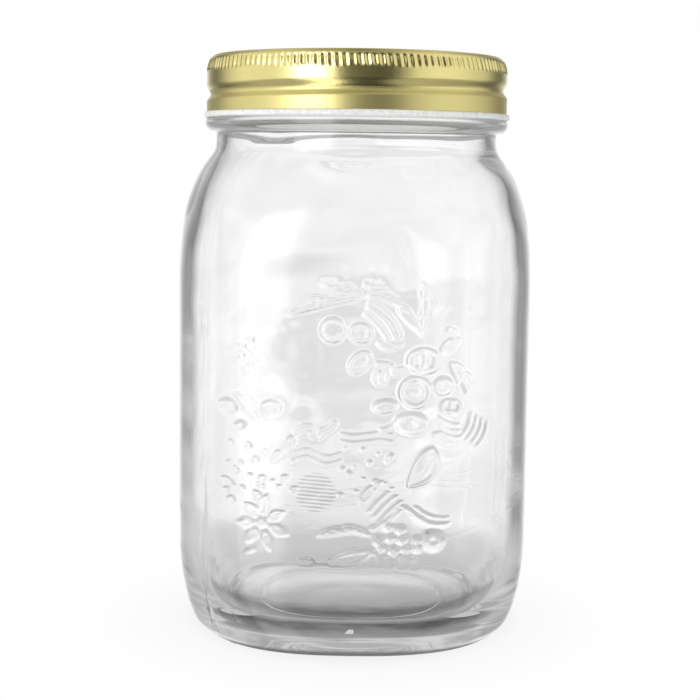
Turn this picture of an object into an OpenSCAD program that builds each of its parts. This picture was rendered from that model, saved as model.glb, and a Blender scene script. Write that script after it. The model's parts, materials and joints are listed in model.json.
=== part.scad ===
// Square-bodied preserving jar with a two-piece screw closure.
// Origin on the table under the jar's axis, +Z up, the decorated side faces -Y.

/* [Glass body] */
// Width across the flat sides of the body
body_w = 101.6; // [98:0.2:106]
// Height of the glass from the table to the sealing lip
glass_h = 164.7; // [160:0.1:180]
// Squareness of the body section, where 2 is a circle
squareness = 3.1; // [2.4:0.1:4]
// Width of the foot across its flat sides
foot_w = 83; // [78:1:86]
// Height over which the body curves in to its foot
heel_h = 29; // [22:1:32]
// Height of the shoulder, from the full width up to the neck
shoulder_h = 52; // [40:1:60]
// How steeply the shoulder closes in on the neck
shoulder_power = 4.9; // [3:0.1:6]
// Thickness of the side wall
wall = 3.2; // [2.6:0.1:4]
// Thickness of the glass at the bottom
base_t = 4.2; // [3.6:0.1:6]
// Rise of the underside at its centre
push_up = 2; // [1:0.5:3]

/* [Neck and finish] */
// Outside diameter of the neck under the bead
neck_d = 81.8; // [81:0.1:82.6]
// Diameter of the transfer bead
bead_d = 88.4; // [87.4:0.1:89]
// Height of the transfer bead
bead_h = 3.6; // [3.4:0.1:4]
// Diameter of the wall that carries the thread
finish_d = 83.2; // [82.8:0.1:83.6]
// Diameter over the crest of the thread
thread_d = 85.6; // [85.2:0.1:85.7]
// Diameter of the mouth
mouth_d = 76; // [74:0.5:76]
// Rise of the thread in one turn
pitch = 3.6; // [3.4:0.1:4]

/* [Closure] */
// Outside diameter of the band over its plain belts
band_d = 87.5; // [87.4:0.1:88.5]
// Height of the band
band_h = 17.8; // [17.6:0.1:18.6]
// Thickness of the tinplate
sheet = 0.3; // [0.3:0.05:0.35]
// Diameter of the opening in the band's top
opening_d = 73; // [70:1:76]
// Depth of the thread rolled into the band
groove_depth = 1.1; // [0.8:0.05:1.15]
// Height and width of the white curl at the band's lower edge
curl = [1.7, 1.15]; // [0.8:0.05:2.2]
// Diameter of the flat disc
disc_d = 82.2; // [81.4:0.1:82.3]
// Thickness of the sealing compound
seal_t = 1.15; // [0.8:0.05:1.15]

/* [Hidden] */

round_steps = 144;      // segments of a full circle on the turned parts
side_steps = 60;        // points round one body section
helix_step = 5;         // degrees between thread stations
eps = 0.01;             // separates faces that would otherwise coincide
gap = 0.03;             // running clearance in the stack of the closure

body_r = body_w / 2;
foot_r = foot_w / 2;
neck_r = neck_d / 2;
bead_r = bead_d / 2;
finish_r = finish_d / 2;
thread_r = thread_d / 2;
mouth_r = mouth_d / 2;
band_r = band_d / 2;
disc_r = disc_d / 2;

// Stack of the closure, upwards from the sealing lip.
seal_z = glass_h + gap;
disc_z = seal_z + seal_t + eps;
disc_t = 0.28;
flange_z = disc_z + disc_t + gap;
top_z = flange_z + sheet;
band_z = top_z - band_h;

// Heights on the glass.
bead_z = band_z - 0.2 - bead_h;
neck_z = bead_z - 5.3;
shoulder_z = neck_z - shoulder_h;

// Heights on the band, and its rolled thread.
bevel_h = 4.2;
groove_z = top_z - 10.5;
groove_up = 3.1;        // reach of the groove's upper flank
groove_down = 2;        // reach of its lower flank
groove_half_turn = 190; // the groove fades out this far either side of the front
fade = 40;              // length of the fade at each end, in degrees
ridge_z = groove_z + 2; // the glass thread rides above the rolled groove
ridge_half_turn = 200;
ridge_crest = 0.35;     // half width of the crest
ridge_root = 1.05;      // half width of the root

function mix(a, b, t) = a + (b - a) * t;
function clamp01(t) = min(1, max(0, t));
function smooth(t) = let (u = clamp01(t)) u * u * (3 - 2 * u);
function centre(points) = [for (i = [0 : 2]) sum([for (p = points) p[i]]) / len(points)];
function sum(values, i = 0) = i == len(values) ? 0 : values[i] + sum(values, i + 1);
// Points of an arc about [x, y] from angle a to b, as [x, y] pairs.
function arc(x, y, rx, ry, a, b, n) =
    [for (i = [0 : n]) let (k = mix(a, b, i / n)) [x + rx * cos(k), y + ry * sin(k)]];

// ---- glass body -----------------------------------------------------------

// Half width of the shoulder and body at height z above the heel.
function shoulder_half(z, low, high) =
    let (u = clamp01((neck_z - z) / shoulder_h))
    high + (low - high) * (1 - pow(1 - u, shoulder_power));

// Section exponent: round at the neck, squarest along the body, softer at the foot.
function section_power(z) =
    z > shoulder_z
        ? mix(2, squareness, smooth((neck_z - z) / (shoulder_h * 0.75)))
        : mix(squareness - 0.55, squareness, smooth(z / 6));

// One section: points at half width a, height z and exponent p.
function section(a, z, p) = [
    for (i = [0 : side_steps - 1])
        let (k = i * 360 / side_steps)
        let (r = a / pow(pow(abs(cos(k)), p) + pow(abs(sin(k)), p), 1 / p))
        [r * cos(k), r * sin(k), z]
];

// Rows of [half width, height], from the centre of the underside, up the outside,
// over the top and down the inside to the centre of the floor.
foot_band = 5;
function dome(t) = push_up * pow(1 - t * t, 2);
under_rows = [for (t = [0.2, 0.4, 0.6, 0.8]) [t * (foot_r - foot_band), dome(t)]];
foot_rows = [[foot_r - foot_band, 0], [foot_r - 1, 0]];
heel_rows = arc(foot_r, heel_h, body_r - foot_r, heel_h, -80, 0, 7);
shoulder_rows = [
    for (i = [0 : 12])
        let (z = mix(shoulder_z, neck_z, 1 - pow(1 - i / 12, 1.5)))
        [shoulder_half(z, body_r, neck_r + 0.1), z]
];
top_rows = [[neck_r - 0.5, neck_z + 2], [mouth_r + 0.5, neck_z + 2]];
inner_low = body_r - wall;
inner_shoulder_rows = [
    for (i = [0 : 10])
        let (z = mix(neck_z - 1.5, shoulder_z, pow(i / 10, 1.5)))
        [shoulder_half(z + 1.5, inner_low, mouth_r + 0.9), z]
];
floor_r = foot_r - 7;
inner_heel_rows = arc(floor_r, heel_h + 2, inner_low - floor_r, heel_h + 2 - base_t, 0, -90, 7);
floor_rows = [for (t = [0.8, 0.6, 0.4, 0.2]) [t * floor_r, base_t + dome(t)]];
body_rows = concat(under_rows, foot_rows, heel_rows, shoulder_rows, top_rows,
                   inner_shoulder_rows, inner_heel_rows, floor_rows);

// Closed skin through rows of points that share one count, with a point at each end.
module lofted(rows, first_point, last_point) {
    n = len(rows[0]);
    m = len(rows);
    first = n * m;
    last = first + 1;
    sides = [
        for (j = [0 : m - 2], i = [0 : n - 1])
            let (a = j * n + i, b = j * n + (i + 1) % n, c = a + n, d = b + n)
            each [[a, c, b], [b, c, d]]
    ];
    ends = [
        for (i = [0 : n - 1])
            let (k = (i + 1) % n)
            each [[first, i, k], [last, first - n + k, first - n + i]]
    ];
    polyhedron(points = concat([for (row = rows) each row], [first_point, last_point]),
               faces = concat(sides, ends), convexity = 8);
}

module body_shell() {
    rows = [for (row = body_rows) section(row[0], row[1], section_power(row[1]))];
    lofted(rows, [0, 0, push_up], [0, 0, base_t + push_up]);
}

// Turned ring that holds the neck, the bead and the sealing lip.
module finish_ring() {
    mid_r = (neck_r + mouth_r) / 2;
    bead_round = 0.8;
    bead_drop = bead_r - neck_r - 0.9; // the bead's underside rounds away further
    lip_round = 1.2;
    rotate_extrude($fn = round_steps)
        polygon(concat(
            [[mid_r, neck_z - 3.5], [neck_r, neck_z]],
            arc(neck_r + 0.8, bead_z - 0.8, 0.8, 0.8, 180, 90, 4),
            arc(bead_r - bead_drop, bead_z + bead_drop, bead_drop, bead_drop, -90, 0, 6),
            arc(bead_r - bead_round, bead_z + bead_h - bead_round, bead_round, bead_round, 0, 90, 6),
            arc(finish_r + 0.6, bead_z + bead_h + 0.6, 0.6, 0.6, -90, -180, 4),
            arc(finish_r - lip_round, glass_h - lip_round, lip_round, lip_round, 0, 90, 6),
            arc(mouth_r + lip_round / 2, glass_h - lip_round / 2, lip_round / 2, lip_round / 2, 90, 180, 6),
            [[mouth_r, neck_z + 1]]
        ));
}

// Screw thread that stands out of the finish wall and sinks back into it at both ends.
module thread_ridge() {
    stations = [-ridge_half_turn : helix_step : ridge_half_turn];
    inside = finish_r - 0.5;
    rows = [
        for (k = stations)
            let (rise = smooth((ridge_half_turn - abs(k)) / fade))
            let (crest = mix(finish_r - 0.25, thread_r, rise))
            let (z = ridge_z + pitch * k / 360)
            let (a = k - 90)
            [
                for (p = [[inside, ridge_root], [crest, ridge_crest], [crest, -ridge_crest],
                          [inside, -ridge_root]])
                    [p[0] * cos(a), p[0] * sin(a), z + p[1]]
            ]
    ];
    lofted(rows, centre(rows[0]), centre(rows[len(rows) - 1]));
}

module glass_jar() {
    color("azure", 0.4)
        union() {
            body_shell();
            finish_ring();
            thread_ridge();
        }
}

// ---- closure --------------------------------------------------------------

zone_low = groove_z - groove_down - pitch / 2 - 0.7;
zone_high = groove_z + groove_up + pitch / 2 + 0.7;
zone_lap = 0.4;         // overlap of the threaded zone with the turned ends

// Depth of the rolled thread at angle k from the front and height z, as 0 to 1.
function groove_at(k, z) =
    let (s = z - groove_z - pitch * k / 360)
    let (reach = s > 0 ? groove_up : groove_down)
    abs(s) >= reach ? 0 : smooth((groove_half_turn - abs(k)) / fade) * pow(cos(90 * s / reach), 2);

// Both ends of the rolled thread pass the back of the band, so the deeper one shows there.
function groove(k, z) = max(groove_at(k, z), groove_at(k - 360, z), groove_at(k + 360, z));

// The belt of the band that carries the rolled thread.
module threaded_zone() {
    rows = 15;
    steps = 360 / helix_step;
    outer = band_r - 0.05;
    inner = band_r - sheet + 0.04;
    function ring(z, r) = [
        for (i = [0 : steps - 1])
            let (k = i * helix_step - 180)
            let (d = r - groove_depth * groove(k, z))
            [d * cos(k - 90), d * sin(k - 90), z]
    ];
    heights = [for (j = [0 : rows]) mix(zone_low, zone_high, j / rows)];
    skins = concat([for (z = heights) ring(z, outer)],
                   [for (j = [rows : -1 : 0]) ring(heights[j], inner)]);
    m = len(skins);
    polyhedron(
        points = [for (skin = skins) each skin],
        faces = [
            for (j = [0 : m - 1], i = [0 : steps - 1])
                let (a = j * steps + i, b = j * steps + (i + 1) % steps)
                let (c = (a + steps) % (m * steps), d = (b + steps) % (m * steps))
                each [[a, c, b], [b, c, d]]
        ],
        convexity = 8);
}

// Top flange, knurl bevel and the start of the upper belt.
module band_top() {
    bend = 0.8;
    bevel_r = band_r - 1.75;
    rotate_extrude($fn = round_steps)
        polygon(concat(
            [[opening_d / 2, top_z]],
            arc(bevel_r - bend, top_z - bend, bend, bend, 90, 20, 5),
            [
                [band_r, top_z - bevel_h],
                [band_r, zone_high - zone_lap],
                [band_r - sheet, zone_high - zone_lap],
                [band_r - sheet, top_z - bevel_h]
            ],
            arc(bevel_r - bend, top_z - bend, bend - sheet, bend - sheet, 20, 90, 5),
            [[opening_d / 2, flange_z]]
        ));
}

// End of the lower belt and the outward curl under it.
module band_curl() {
    half = curl[1] / 2;
    centre = band_r - sheet + half;
    rotate_extrude($fn = round_steps)
        union() {
            translate([band_r - sheet, band_z + half])
                square([sheet, zone_low + zone_lap - band_z - half]);
            polygon(concat(
                arc(centre, band_z + half, half, half, -180, 0, 10),
                arc(centre, band_z + curl[0] - half, half, half, 0, 180, 10)
            ));
        }
}

module screw_band() {
    color("khaki")
        union() {
            band_top();
            threaded_zone();
            band_curl();
        }
}

// Flat disc: turned-down rim, seat for the compound, recessed panel, ring and centre button.
module lid_disc() {
    rim_drop = 0.9;
    seat_in = mouth_r - 1.2;
    panel_drop = 1.1;
    ring_r = disc_r * 0.62;
    ring_rise = 0.5;
    button_r = 11;
    button_rise = 0.6;
    line = [
        [0, button_rise - panel_drop],
        [button_r, button_rise * 0.5 - panel_drop],
        [button_r + 2, -panel_drop],
        [ring_r - 1.5, -panel_drop],
        [ring_r, ring_rise - panel_drop],
        [ring_r + 1.5, -panel_drop],
        [seat_in - 1.5, -panel_drop],
        [seat_in, 0],
        [disc_r, 0]
    ];
    n = len(line) - 1;
    color("khaki")
        rotate_extrude($fn = round_steps)
            polygon(concat(
                [for (i = [0 : n]) line[i] + [0, disc_z + disc_t]],
                [
                    [disc_r, disc_z + disc_t - rim_drop],
                    [disc_r - disc_t, disc_z + disc_t - rim_drop],
                    [disc_r - disc_t, disc_z]
                ],
                [for (i = [n - 1 : -1 : 0]) line[i] + [0, disc_z]]
            ));
}

// Ring of compound in the disc's seat, pressed on the sealing lip.
module seal_ring() {
    inner_r = mouth_r - 1;
    outer_r = disc_r - disc_t - 0.1;
    color("ivory")
        rotate_extrude($fn = round_steps)
            polygon(concat(
                [[inner_r, disc_z - eps], [outer_r, disc_z - eps]],
                arc(outer_r - 0.4, seal_z + 0.4, 0.4, 0.4, 0, -90, 4),
                arc(inner_r + 0.4, seal_z + 0.4, 0.4, 0.4, -90, -180, 4)
            ));
}

glass_jar();
screw_band();
lid_disc();
seal_ring();
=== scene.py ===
"""Looks of the square preserving jar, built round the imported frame.

Lengths are millimetres and angles are degrees, unless a name says otherwise. The decorated
side faces -Y. Meshes are scaled to metres where they are made.
"""

import json
import math

import bpy
import numpy as np
from mathutils import Euler, Matrix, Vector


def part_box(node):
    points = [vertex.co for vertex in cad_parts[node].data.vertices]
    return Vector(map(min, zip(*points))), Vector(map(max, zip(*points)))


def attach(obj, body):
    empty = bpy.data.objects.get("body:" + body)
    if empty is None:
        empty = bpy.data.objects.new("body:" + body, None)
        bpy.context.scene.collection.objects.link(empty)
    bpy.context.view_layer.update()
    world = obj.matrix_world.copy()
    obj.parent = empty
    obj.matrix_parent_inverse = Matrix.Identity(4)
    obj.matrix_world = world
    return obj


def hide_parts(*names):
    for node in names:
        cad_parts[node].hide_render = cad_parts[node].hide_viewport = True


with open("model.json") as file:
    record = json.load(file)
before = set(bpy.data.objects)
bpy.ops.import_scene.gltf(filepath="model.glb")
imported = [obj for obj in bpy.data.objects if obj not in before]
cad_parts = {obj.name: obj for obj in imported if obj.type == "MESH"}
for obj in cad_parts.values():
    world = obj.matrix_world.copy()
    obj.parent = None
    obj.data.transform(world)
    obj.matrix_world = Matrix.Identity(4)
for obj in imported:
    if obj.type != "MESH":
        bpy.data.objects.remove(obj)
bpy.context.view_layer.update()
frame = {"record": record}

MM = 0.001

# ---- sizes taken from the frame --------------------------


def node_box(node):
    """Lowest and highest corner of a CAD node, in millimetres."""
    low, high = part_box(node)
    return [c / MM for c in low], [c / MM for c in high]


_, jar_high = node_box("glass_jar")
band_low, band_high = node_box("screw_band")
_, disc_high = node_box("lid_disc")
seal_low, seal_high = node_box("seal_ring")
mouth = next(m for m in frame["record"]["mounts"] if m["name"] == "mouth")

BODY_R = jar_high[0]
LIP_Z = jar_high[2]
MOUTH_R = mouth["dims"]["r_mm"]
BAND_FOOT = band_low[2]
BAND_TOP = band_high[2]

# ---- sizes of the glass ----------------------------------
# _R is a radius or half width, _H a height, _W a width and _Z a height over the table.

SQUARENESS = 3.1
FOOT_SQUARENESS = 2.55
FOOT_R = 41.5
FOOT_BAND = 5.0
BASE_SEAM = 0.76  # mould seam round the base, as a share of the base's radius
BASE_SEAM_W = 0.02  # share of the same radius
BASE_SEAM_DEPTH = 0.3
HEEL_H = 29.0
SHOULDER_H = 52.0
SHOULDER_POWER = 4.9
WALL = 3.2
BASE_T = 4.2
PUSH_UP = 2.0
NECK_R = 40.9
BEAD_R = 44.2
BEAD_H = 3.6
FINISH_R = 41.6
THREAD_R = 42.8
PITCH = 3.6
THREAD_SPAN = 200  # degrees that the thread runs each way from the front
BEAD_Z = BAND_FOOT - 0.2 - BEAD_H
NECK_Z = BEAD_Z - 5.3
SHOULDER_Z = NECK_Z - SHOULDER_H
FRONT = -90  # middle of the decorated side, from +X
SEAMS = [-135, 45]  # corners that carry the mould's parting line, from +X
RELIEF_ZONE = [22.0, 107.0]  # heights between which the mesh is finest
RELIEF_STEP = 0.48

# ---- sizes of the band -----------------------------------

BAND_R = 43.75
SHEET = 0.3
OPENING_R = 36.5
BEVEL_R = BAND_R - 1.45
BEVEL_H = 4.2
GROOVE_Z = BAND_TOP - 10.5
GROOVE_DEPTH = 1.1
GROOVE_UP = 3.1
GROOVE_DOWN = 2.0
GROOVE_SPAN = 190  # degrees that the groove runs each way from the front
FADE = 40.0  # degrees over which a thread runs out at its ends
CURL_H = 1.7
CURL_W = 1.15
KNURLS = 140
KNURL_DEPTH = 0.38
KNURL_SLANT = 0.007 / 3  # radians a knurl leans over in each millimetre of its height


# ---- small helpers ---------------------------------------


def mix(a, b, t):
    """From a to b as t goes from 0 to 1."""
    return a + (b - a) * t


def smooth(t):
    """0 below 0 and 1 above 1, with a soft S between."""
    t = np.clip(t, 0.0, 1.0)
    return t * t * (3 - 2 * t)


def degrees_from(angle, place):
    """Degrees from a place to an angle in radians, both from +X, as -180 to 180."""
    return (np.degrees(angle) - place + 180) % 360 - 180


def arc(x, z, rx, rz, start, end, steps):
    """Points along an ellipse's arc, as [x, z] pairs."""
    turn = np.radians(np.linspace(start, end, steps + 1))
    return [[x + rx * math.cos(t), z + rz * math.sin(t)] for t in turn]


def spaced(points, step):
    """The same outline with extra points, so that none are further apart than step."""
    out = [points[0]]
    for a, b in zip(points, points[1:], strict=False):
        n = max(1, math.ceil(math.dist(a, b) / step))
        out += [[mix(p, q, i / n) for p, q in zip(a, b, strict=True)] for i in range(1, n + 1)]
    return out


def mesh_object(name, points, faces, materials, face_slots=None):
    """A smooth-shaded object from points in millimetres."""
    mesh = bpy.data.meshes.new(name)
    mesh.from_pydata((np.asarray(points) * MM).tolist(), [], faces)
    for material in materials:
        mesh.materials.append(material)
    if face_slots is not None:
        mesh.polygons.foreach_set("material_index", face_slots)
    mesh.polygons.foreach_set("use_smooth", [True] * len(mesh.polygons))
    mesh.update()
    mesh.validate()
    piece = bpy.data.objects.new(name, mesh)
    bpy.context.collection.objects.link(piece)
    return piece


def place_in_frame(piece, node, body):
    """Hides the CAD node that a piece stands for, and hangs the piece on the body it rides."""
    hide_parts(node)
    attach(piece, body)


def ring_faces(first, second, count):
    """Quads between two rings of the same count, given the index of each ring's first point."""
    return [
        (first + i, first + (i + 1) % count, second + (i + 1) % count, second + i)
        for i in range(count)
    ]


def revolved(name, outline, steps, materials, slots=None, shape=None):
    """Turns a closed outline of [r, z] points about the axis.

    slots gives each outline segment's material, and shape(angle, r, z) may move the points.
    """
    outline = np.asarray(outline, float)
    turn = np.linspace(0, 2 * np.pi, steps, endpoint=False)
    r = np.repeat(outline[:, :1], steps, axis=1)
    z = np.repeat(outline[:, 1:], steps, axis=1)
    angle = np.repeat(turn[None, :], len(outline), axis=0)
    if shape:
        r, z = shape(angle, r, z)
    points = np.stack([r * np.cos(angle), r * np.sin(angle), z], -1).reshape(-1, 3)
    faces, face_slots = [], []
    rows = len(outline)
    for j in range(rows):
        faces += ring_faces(j * steps, ((j + 1) % rows) * steps, steps)
        face_slots += [slots[j] if slots else 0] * steps
    return mesh_object(name, points, faces, materials, face_slots)


# ---- materials -------------------------------------------


def grey(level):
    return (level, level, level, 1)


class Nodes:
    """Short calls for building the node tree of one material or world."""

    def __init__(self, owner):
        self.owner = owner
        owner.use_nodes = True
        self.tree = owner.node_tree
        self.tree.nodes.clear()

    def add(self, kind, settings=None, **inputs):
        """A new node. An input's name has underscores in place of spaces."""
        node = self.tree.nodes.new(kind)
        for key, value in (settings or {}).items():
            setattr(node, key, value)
        for key, value in inputs.items():
            self.put(node.inputs[key.replace("_", " ")], value)
        return node

    def put(self, socket, value):
        """Links an input to another node's output, or else sets its value."""
        if isinstance(value, bpy.types.NodeSocket):
            self.tree.links.new(value, socket)
        else:
            socket.default_value = value

    def math(self, operation, a, b=0.0):
        node = self.add("ShaderNodeMath", {"operation": operation})
        self.put(node.inputs[0], a)
        self.put(node.inputs[1], b)
        return node.outputs[0]

    def times(self, a, b):
        return self.math("MULTIPLY", a, b)

    def mapped(self, value, start, end, first, last, curve="SMOOTHSTEP"):
        """first as far as start, last from end on, and a curve between them."""
        node = self.add(
            "ShaderNodeMapRange",
            {"interpolation_type": curve},
            Value=value,
            From_Min=start,
            From_Max=end,
            To_Min=first,
            To_Max=last,
        )
        return node.outputs[0]

    def parts(self, vector):
        """Node whose outputs X, Y and Z are the parts of a vector."""
        return self.add("ShaderNodeSeparateXYZ", Vector=vector)

    def place(self):
        """Parts of the shaded point's place, in metres."""
        return self.parts(self.add("ShaderNodeTexCoord").outputs["Object"])

    def reach(self, place):
        """Distance of a place from the jar's axis."""
        squares = [self.times(place.outputs[side], place.outputs[side]) for side in "XY"]
        return self.math("SQRT", self.math("ADD", *squares))

    def stretched(self, scale, space="Object"):
        """The shaded point's place, scaled, for a noise."""
        place = self.add("ShaderNodeTexCoord")
        return self.add("ShaderNodeMapping", Vector=place.outputs[space], Scale=scale).outputs[0]

    def noise(self, vector, detail):
        node = self.add("ShaderNodeTexNoise", Vector=vector, Scale=1.0, Detail=detail)
        return node.outputs["Fac"]

    def ramp(self, value, stops):
        node = self.add("ShaderNodeValToRGB", Fac=value)
        ends = node.color_ramp.elements
        while len(ends) < len(stops):
            ends.new(0.5)
        for end, (place, colour) in zip(ends, stops, strict=True):
            end.position = place
            end.color = colour
        return node.outputs["Color"]

    def grey_ramp(self, value, stops):
        return self.ramp(value, [(place, grey(level)) for place, level in stops])

    def either(self, share, first, second, blend="MIX"):
        """Colour that goes from the first to the second with its share."""
        node = self.add(
            "ShaderNodeMixRGB", {"blend_type": blend}, Fac=share, Color1=first, Color2=second
        )
        return node.outputs[0]

    def mixed(self, share, first, second):
        """Shader that goes from the first to the second with its share."""
        node = self.add("ShaderNodeMixShader")
        for socket, value in zip(node.inputs, (share, first, second), strict=True):
            self.put(socket, value)
        return node.outputs[0]

    def surface(self, bump, height, **looks):
        """Shader of an opaque surface. bump is its strength and its depth in metres."""
        strength, depth = bump
        bumps = self.add("ShaderNodeBump", Strength=strength, Distance=depth, Height=height)
        looks["Normal"] = bumps.outputs["Normal"]
        return self.add("ShaderNodeBsdfPrincipled", **looks).outputs[0]

    def finish(self, surface, kind="Material"):
        self.add(f"ShaderNodeOutput{kind}", Surface=surface)
        return self.owner


def glass_material():
    """Clear soda-lime glass, with painted shade along the foot's bottom edge: a dark, slightly
    rough line that only the camera sees.

    Light that goes on bouncing inside ends in a painted grey glow, streaky near the heel,
    in place of further reflections. Shadow rays pass almost undimmed.
    """
    # the second tint is painted shade for the foot's bottom edge
    clear, painted_edge_shade = (0.99, 0.99, 0.99, 1), (0.3, 0.31, 0.31, 1)
    shadow = (0.93, 0.94, 0.94, 1)
    edge_shade_z, edge_shade_end_z, edge_shade_reach, edge_shade_roughness = 1.6, 3.0, 38, 0.12
    heel_top, painted_bounce_grey = 40, grey(0.4)
    heel_painted_streaks = [(0.36, 0.42), (0.62, 0.68)]
    most_bounces = 2.5
    s = Nodes(bpy.data.materials.new("clear_glass"))
    ripple = s.noise(s.stretched((60, 60, 25)), 2.0)
    bump = s.add("ShaderNodeBump", Strength=0.06, Distance=0.0004, Height=ripple)
    place = s.place()
    height = place.outputs["Z"]
    path = s.add("ShaderNodeLightPath")
    low = s.mapped(height, edge_shade_z * MM, edge_shade_end_z * MM, 1.0, 0.0, "LINEAR")
    outer = s.math("GREATER_THAN", s.reach(place), edge_shade_reach * MM)
    # painted shade: a dark line along the foot's bottom edge, for camera rays only
    wear_and_edge_shade = s.times(low, s.times(outer, path.outputs["Is Camera Ray"]))
    glass = s.add(
        "ShaderNodeBsdfGlass",
        Color=s.either(wear_and_edge_shade, clear, painted_edge_shade),
        Roughness=s.times(wear_and_edge_shade, edge_shade_roughness),
        IOR=1.5,
        Normal=bump.outputs["Normal"],
    )
    streaks = s.noise(s.stretched((60, 60, 170)), 2.0)
    heel = s.math("LESS_THAN", height, heel_top * MM)
    # painted light: a grey glow, streaky near the heel, for rays that have bounced inside too
    # often
    tone = s.either(heel, painted_bounce_grey, s.grey_ramp(streaks, heel_painted_streaks))
    painted_bounce_glow = s.add("ShaderNodeEmission", Color=tone)
    trapped = s.math("GREATER_THAN", path.outputs["Glossy Depth"], most_bounces)
    lit = s.mixed(trapped, glass.outputs[0], painted_bounce_glow.outputs[0])
    passing = s.add("ShaderNodeBsdfTransparent", Color=shadow)
    return s.finish(s.mixed(path.outputs["Is Shadow Ray"], lit, passing.outputs[0]))


def gold_material():
    """Satin gold lacquer over brushed tinplate, rougher and a little darker on the band's lower
    belt.
    """
    white, lower_belt_tint = grey(1), grey(0.93)
    base_roughness, grain_roughness, lower_roughness = 0.14, 0.12, 0.17
    s = Nodes(bpy.data.materials.new("gold_lacquer"))
    grain = s.noise(s.stretched((1500, 1500, 2600)), 3.0)
    cloud = s.noise(s.stretched((90, 90, 90)), 2.0)
    colour = s.ramp(cloud, [(0.3, (0.80, 0.70, 0.29, 1)), (0.7, (0.84, 0.735, 0.32, 1))])
    lower_belt = s.math("LESS_THAN", s.place().outputs["Z"], (GROOVE_Z + 0.5) * MM)
    colour = s.either(1.0, colour, s.either(lower_belt, white, lower_belt_tint), "MULTIPLY")
    rough = s.math("ADD", s.times(grain, grain_roughness), base_roughness)
    rough = s.math("ADD", rough, s.times(lower_belt, lower_roughness))
    looks = {"Base_Color": colour, "Metallic": 1.0, "Roughness": rough}
    return s.finish(s.surface((0.6, 0.00003), grain, **looks))


def enamel_material(name, glow):
    """White enamel with a faint grain. glow is painted stray light: an emission that only rays
    through the glass see.
    """
    s = Nodes(bpy.data.materials.new(name))
    grain = s.noise(s.stretched((900, 900, 900)), 4.0)
    colour = s.ramp(grain, [(0.3, (0.76, 0.77, 0.74, 1)), (0.65, (0.93, 0.94, 0.91, 1))])
    through = s.add("ShaderNodeLightPath").outputs["Is Transmission Ray"]
    # painted light: an emission that only rays through the glass see
    painted_stray_light = s.times(through, glow)
    looks = {"Base_Color": colour, "Emission_Color": colour, "Emission_Strength": painted_stray_light}
    return s.finish(s.surface((0.3, 0.0001), grain, Roughness=0.35, **looks))


def compound_material():
    """Matte off-white sealing compound."""
    s = Nodes(bpy.data.materials.new("sealing_compound"))
    grain = s.noise(s.stretched((700, 700, 700)), 3.0)
    colour = s.ramp(grain, [(0.3, (0.62, 0.60, 0.54, 1)), (0.7, (0.72, 0.70, 0.64, 1))])
    return s.finish(s.surface((0.4, 0.0001), grain, Base_Color=colour, Roughness=0.6))


GLASS = glass_material()
GOLD = gold_material()
HEM_ENAMEL = enamel_material("hem_enamel", 0.0)
DISC_ENAMEL = enamel_material("disc_enamel", 0.3)
COMPOUND = compound_material()

# ---- raised fruit garland --------------------------------
# Places are [x, z] from the middle of the decorated side. Every motif is a height map.

PANEL_Z = 64.0
HATCH_Z = PANEL_Z - 16
EDGE = 0.9  # width of a motif's sloping border
RELIEF = 0.9  # usual height of a motif
LINE = 0.8 * RELIEF  # height of its raised lines


def turned(x, z, place, angle):
    """Coordinates along and across a motif."""
    a = math.radians(angle)
    dx, dz = x - place[0], z - place[1]
    return dx * math.cos(a) + dz * math.sin(a), dz * math.cos(a) - dx * math.sin(a)


def between(start, end):
    """Middle, length and direction of the line from start to end."""
    middle = [(a + b) / 2 for a, b in zip(start, end, strict=True)]
    angle = math.degrees(math.atan2(end[1] - start[1], end[0] - start[0]))
    return middle, math.dist(start, end), angle


def on_line(x, z, start, end):
    """Coordinates along and across a line from its middle, and the line's length."""
    middle, length, angle = between(start, end)
    return *turned(x, z, middle, angle), length


def in_oval(x, z, place, width, height, angle):
    """Coordinates along and across an oval, and the distance from its middle, 1 at its rim."""
    along, across = turned(x, z, place, angle)
    return along, across, np.hypot(2 * along / width, 2 * across / height)


def raised(inset, size):
    """Flat-topped motif of a given width with a raised outline, from the inset in its border."""
    rim = min(0.9, max(0.4, 0.15 * size))
    outline = np.exp(-(((inset - rim) / (0.68 * rim)) ** 2))
    return RELIEF * (0.42 * smooth(inset / EDGE) + 0.6 * outline)


def raised_oval(reach, width, height):
    """The same for an oval, from in_oval's distance."""
    size = min(width, height)
    return raised((1 - reach) * size / 2, size)


def leaf(x, z, start, end, width, curl=0.0):
    """Pointed leaf from stalk to tip, with a midrib, bent sideways by curl."""
    along, across, length = on_line(x, z, start, end)
    s = 2 * along / length
    across = across - curl * (1 - s * s)
    half = 0.5 * width * np.clip(1 - s * s, 0, None) ** 0.75 * (1 - 0.2 * s)
    rib = np.exp(-((across / 0.3) ** 2)) * (np.abs(s) < 0.8)
    return np.maximum(raised(half - np.abs(across), width), LINE * rib)


def oval(x, z, place, width, height, angle=0.0, mark=0.6):
    """Swelling fruit with a dimple at its calyx."""
    along, across, reach = in_oval(x, z, place, width, height, angle)
    inset = (1 - reach) * min(width, height) / 2
    dome = np.sqrt(np.clip(1 - reach**2, 0, None))
    star = 0.6 + 0.4 * np.cos(5 * np.arctan2(across, along))
    dimple = mark * np.exp(-((reach / 0.3) ** 2)) * star
    bulge = RELIEF * (0.3 * smooth(inset / EDGE) + 1.0 * dome - dimple)
    return np.maximum(raised_oval(reach, width, height), bulge)


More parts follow.
